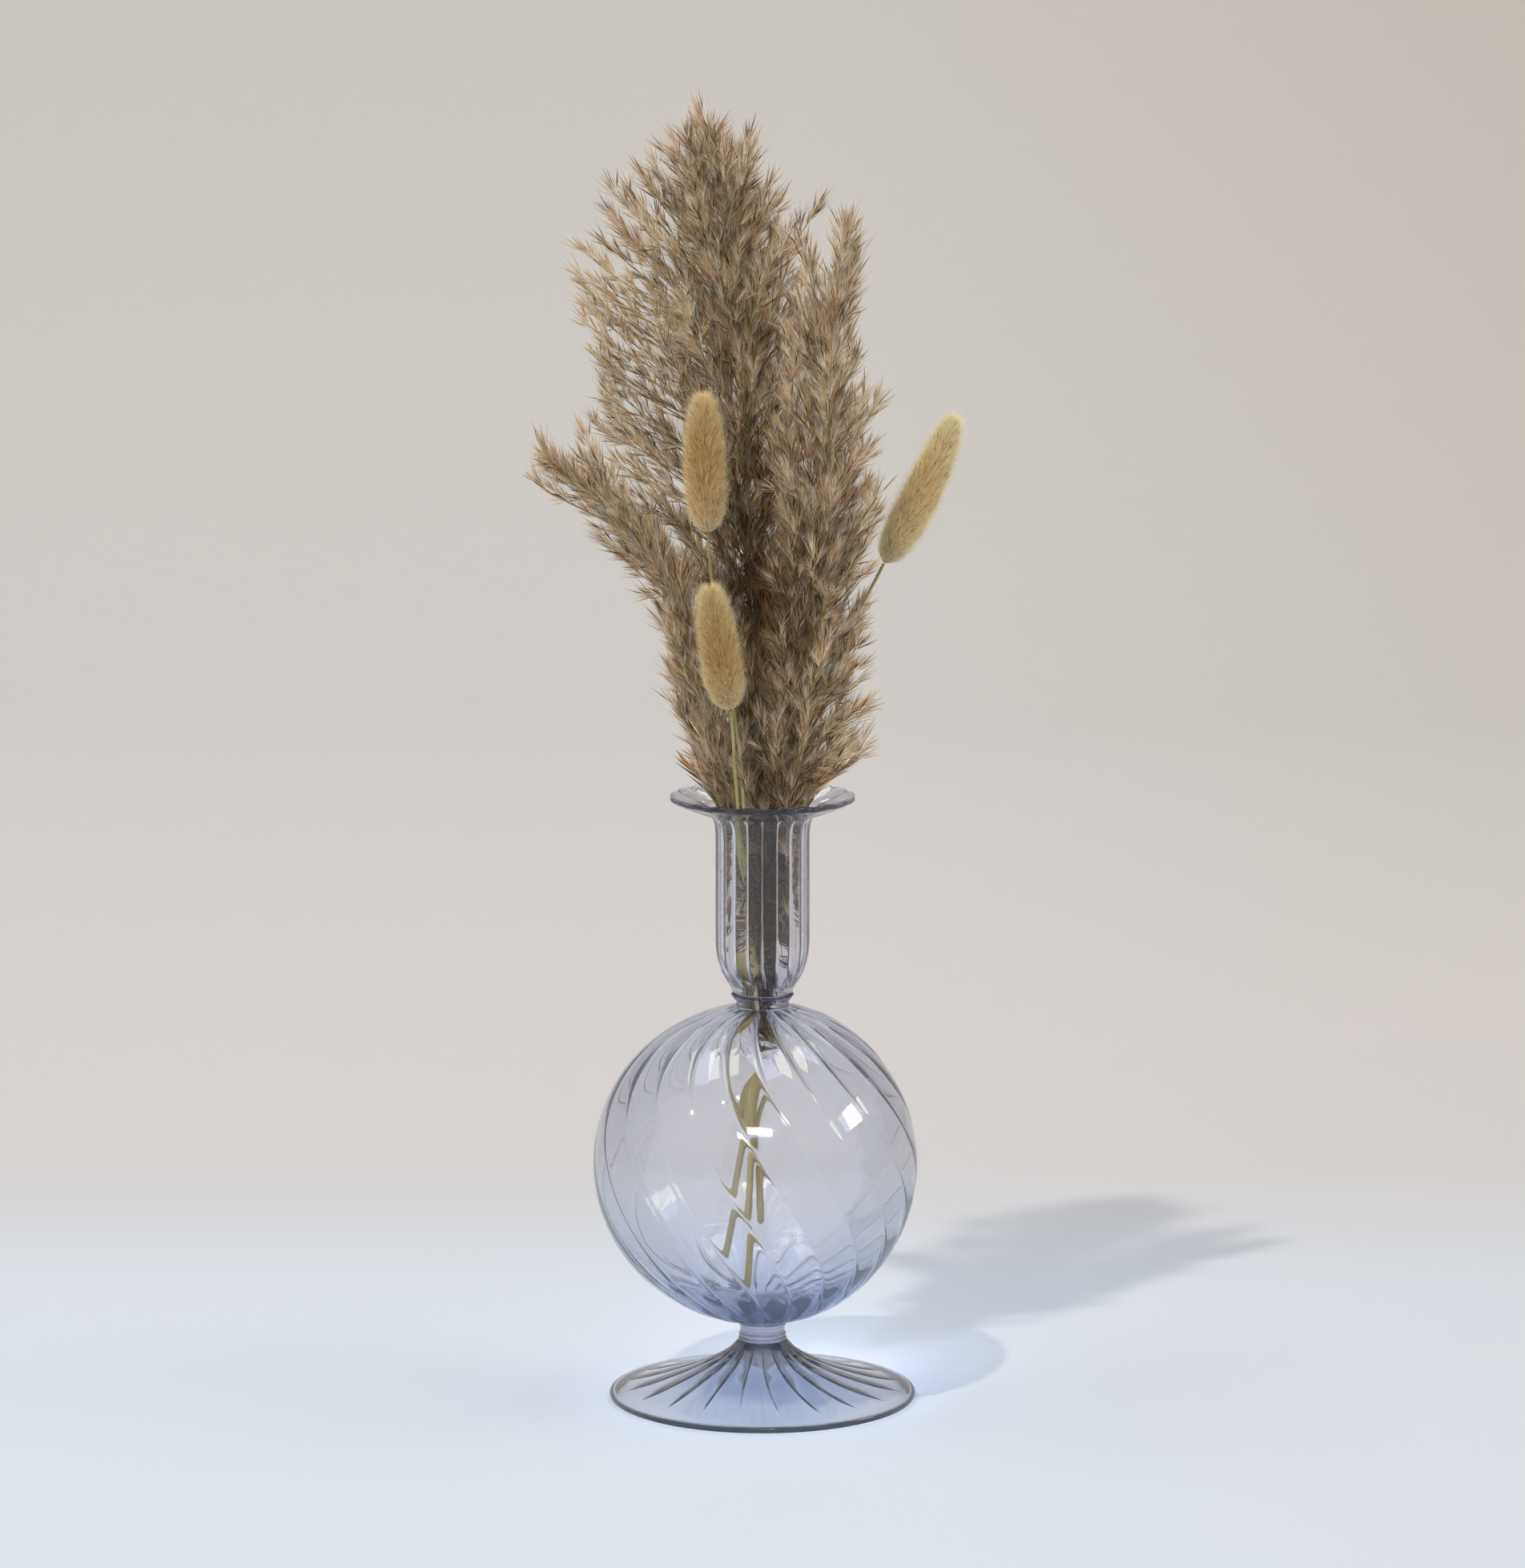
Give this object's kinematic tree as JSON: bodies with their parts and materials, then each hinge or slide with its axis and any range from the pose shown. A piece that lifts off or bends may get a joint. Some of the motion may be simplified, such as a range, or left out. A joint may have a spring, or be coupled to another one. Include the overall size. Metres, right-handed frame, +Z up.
{
  "type": "glass bud vase",
  "caption": "Ribbed lilac blown-glass bud vase: round ball on a flared foot, narrow waist, tall neck cup with a wide lip, holding dried reed plumes and bunny tails that lift out.",
  "frame": {"origin": "centre of the foot, on the surface that the vase stands on", "axes": "+Z up along the vase's axis; -Y towards the viewer, +X to the viewer's right"},
  "size_m": [0.1149, 0.0946, 0.383],
  "materials": {
    "vase_glass": "pale lilac-blue lustred clear glass, polished",
    "ring_glass": "thicker, darker lilac clear glass, polished",
    "reed_culm": "dried olive-straw stalk, satin",
    "reed_plume": "dried reed plume, brown spikelets with silky grey hairs, matte",
    "tail_stem": "dried straw-green grass stem, satin",
    "tail_head": "cream to golden-tan fuzzy seed head, matte"
  },
  "bodies": {
    "vase": {"foot": "vase_glass", "lower_stem": "ring_glass", "ball": "vase_glass", "waist_ring": "ring_glass", "neck_cup": "vase_glass"},
    "reed_tall": {"reed_tall_culm": "reed_culm", "reed_tall_plume": "reed_plume"},
    "reed_right": {"reed_right_culm": "reed_culm", "reed_right_plume": "reed_plume"},
    "reed_left": {"reed_left_culm": "reed_culm", "reed_left_plume": "reed_plume"},
    "bunny_tail_low": {"bunny_tail_low_stem": "tail_stem", "bunny_tail_low_head": "tail_head"},
    "bunny_tail_middle": {"bunny_tail_middle_stem": "tail_stem", "bunny_tail_middle_head": "tail_head"},
    "bunny_tail_right": {"bunny_tail_right_stem": "tail_stem", "bunny_tail_right_head": "tail_head"}
  },
  "joints": [
    {"name": "reed_tall_lift", "type": "slide", "parent": "vase", "child": "reed_tall", "axis": [0.0083, 0.0466, 0.9989], "range_m": [0, 0.155]},
    {"name": "reed_right_lift", "type": "slide", "parent": "vase", "child": "reed_right", "axis": [0.1222, -0.0611, 0.9906], "range_m": [0, 0.15]},
    {"name": "reed_left_lift", "type": "slide", "parent": "vase", "child": "reed_left", "axis": [-0.0665, 0, 0.9978], "range_m": [0, 0.135]},
    {"name": "bunny_tail_low_lift", "type": "slide", "parent": "vase", "child": "bunny_tail_low", "axis": [-0.0806, -0.1414, 0.9867], "range_m": [0, 0.085]},
    {"name": "bunny_tail_middle_lift", "type": "slide", "parent": "vase", "child": "bunny_tail_middle", "axis": [-0.0664, -0.0498, 0.9965], "range_m": [0, 0.097]},
    {"name": "bunny_tail_right_lift", "type": "slide", "parent": "vase", "child": "bunny_tail_right", "axis": [0.0961, 0.0431, 0.9944], "range_m": [0, 0.118]}
  ]
}
